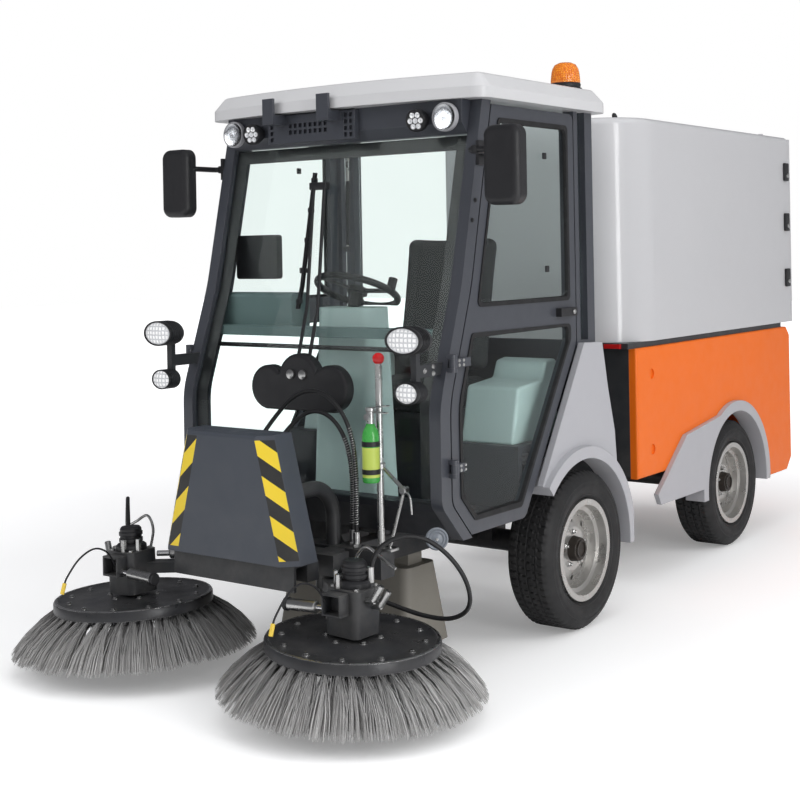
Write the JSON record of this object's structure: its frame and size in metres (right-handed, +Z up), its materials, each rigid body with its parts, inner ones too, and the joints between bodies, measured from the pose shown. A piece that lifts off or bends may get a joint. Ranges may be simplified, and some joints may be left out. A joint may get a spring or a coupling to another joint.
{
  "type": "articulated electric road sweeper",
  "caption": "Compact articulated electric road sweeper: glazed driver's cab with front side brushes and a suction mouth, pivoting to a rear section with a tipping dirt hopper.",
  "frame": {"origin": "on the floor under the middle of the machine's box, halfway between the brush fronts and the tow eye", "axes": "+X forward towards the brushes, +Y to the driver's left, +Z up"},
  "size_m": [4.48, 1.9762, 2.33],
  "materials": {
    "tyre_rubber": "matte road tyre rubber",
    "rim_silver": "silver painted pressed steel",
    "chassis_black": "satin black chassis paint",
    "cab_grey": "dark blue-grey cab paint",
    "tinted_glass": "green tinted safety glass",
    "body_silver": "silver-grey body paint",
    "panel_orange": "orange body paint",
    "trim_black": "black moulded plastic",
    "mouth_beige": "beige-grey suction mouth paint",
    "console_teal": "pale teal moulded console",
    "seat_fabric": "dark grey woven seat cover",
    "hose_rubber": "black hydraulic hose",
    "bristle_grey": "grey wire bristles on a dark disc",
    "lamp_clear": "clear lamp lenses in dark housings",
    "lamp_amber": "amber beacon lens",
    "lamp_red": "red marker lens",
    "bottle_green": "green enamelled bottle"
  },
  "bodies": {
    "front": {"beacon": "lamp_amber", "cab_floor": "cab_grey", "cab_glass": "tinted_glass", "cab_header": "cab_grey", "cab_pillars": "cab_grey", "cab_roof": "body_silver", "console": "console_teal", "dash_bar": "trim_black", "extinguisher": "bottle_green", "front_axle": "chassis_black", "front_box": "cab_grey", "front_carrier": "chassis_black", "front_chassis": "chassis_black", "front_fenders": "body_silver", "hose_lower": "hose_rubber", "hose_upper": "hose_rubber", "lever_post": "chassis_black", "mirrors": "trim_black", "monitor": "trim_black", "roof_lamps": "lamp_clear", "seat_back": "seat_fabric", "seat_base": "trim_black", "seat_cushion": "seat_fabric", "side_consoles": "console_teal", "steering": "trim_black", "suction_mouth": "mouth_beige", "vent_panel": "cab_grey", "windscreen": "tinted_glass", "wipers": "trim_black", "work_lamps": "chassis_black"},
    "door_left": {"door_left": "cab_grey", "door_glass_left": "tinted_glass"},
    "wheel_front_left": {"tyre_front_left": "tyre_rubber", "rim_front_left": "rim_silver"},
    "wheel_rear_left": {"tyre_rear_left": "tyre_rubber", "rim_rear_left": "rim_silver"},
    "brush_arm_left": {"brush_arm_left": "chassis_black", "motor_hose_left": "hose_rubber"},
    "brush_left": {"brush_left": "bristle_grey"},
    "door_right": {"door_right": "cab_grey", "door_glass_right": "tinted_glass"},
    "wheel_front_right": {"tyre_front_right": "tyre_rubber", "rim_front_right": "rim_silver"},
    "wheel_rear_right": {"tyre_rear_right": "tyre_rubber", "rim_rear_right": "rim_silver"},
    "brush_arm_right": {"brush_arm_right": "chassis_black", "motor_hose_right": "hose_rubber"},
    "brush_right": {"brush_right": "bristle_grey"},
    "rear": {"rear_axle": "chassis_black", "rear_chassis": "chassis_black", "battery_pack": "trim_black", "rear_deck": "chassis_black", "side_panels": "panel_orange", "rear_panel": "panel_orange", "rear_arches": "body_silver", "rear_lamps": "lamp_red", "tow_hitch": "chassis_black"},
    "hopper": {"hopper": "body_silver"},
    "hopper_gate": {"hopper_gate": "body_silver"}
  },
  "joints": [
    {"name": "articulation", "type": "hinge", "parent": "front", "child": "rear", "pos_m": [-0.1, 0, 0.48], "axis": [0, 0, 1], "range_deg": [-35, 35]},
    {"name": "door_left_hinge", "type": "hinge", "parent": "front", "child": "door_left", "pos_m": [1.334, 0.658, 1], "axis": [0, 0, -1], "range_deg": [0, 60]},
    {"name": "wheel_front_left_spin", "type": "hinge", "parent": "front", "child": "wheel_front_left", "pos_m": [0.44, 0.592, 0.32], "axis": [0, 1, 0], "continuous": true},
    {"name": "wheel_rear_left_spin", "type": "hinge", "parent": "rear", "child": "wheel_rear_left", "pos_m": [-1.368, 0.453, 0.32], "axis": [0, 1, 0], "continuous": true},
    {"name": "brush_arm_left_swing", "type": "hinge", "parent": "front", "child": "brush_arm_left", "pos_m": [1.56, 0.25, 0.37], "axis": [0, 0, 1], "range_deg": [-5, 25]},
    {"name": "brush_left_spin", "type": "hinge", "parent": "brush_arm_left", "child": "brush_left", "pos_m": [1.778, 0.533, 0.222], "axis": [0, 0.0436, 0.999], "continuous": true},
    {"name": "door_right_hinge", "type": "hinge", "parent": "front", "child": "door_right", "pos_m": [1.334, -0.658, 1], "axis": [0, 0, 1], "range_deg": [0, 60]},
    {"name": "wheel_front_right_spin", "type": "hinge", "parent": "front", "child": "wheel_front_right", "pos_m": [0.44, -0.592, 0.32], "axis": [0, 1, 0], "continuous": true},
    {"name": "wheel_rear_right_spin", "type": "hinge", "parent": "rear", "child": "wheel_rear_right", "pos_m": [-1.368, -0.453, 0.32], "axis": [0, 1, 0], "continuous": true},
    {"name": "brush_arm_right_swing", "type": "hinge", "parent": "front", "child": "brush_arm_right", "pos_m": [1.56, -0.25, 0.37], "axis": [0, 0, -1], "range_deg": [-5, 25]},
    {"name": "brush_right_spin", "type": "hinge", "parent": "brush_arm_right", "child": "brush_right", "pos_m": [1.778, -0.533, 0.222], "axis": [0, -0.0436, 0.999], "continuous": true},
    {"name": "hopper_tip", "type": "hinge", "parent": "rear", "child": "hopper", "pos_m": [-2.12, 0, 1.085], "axis": [0, -1, 0], "range_deg": [0, 50]},
    {"name": "gate_hinge", "type": "hinge", "parent": "hopper", "child": "hopper_gate", "pos_m": [-2.21, 0, 2.1593], "axis": [0, 1, 0], "range_deg": [0, 80]}
  ]
}
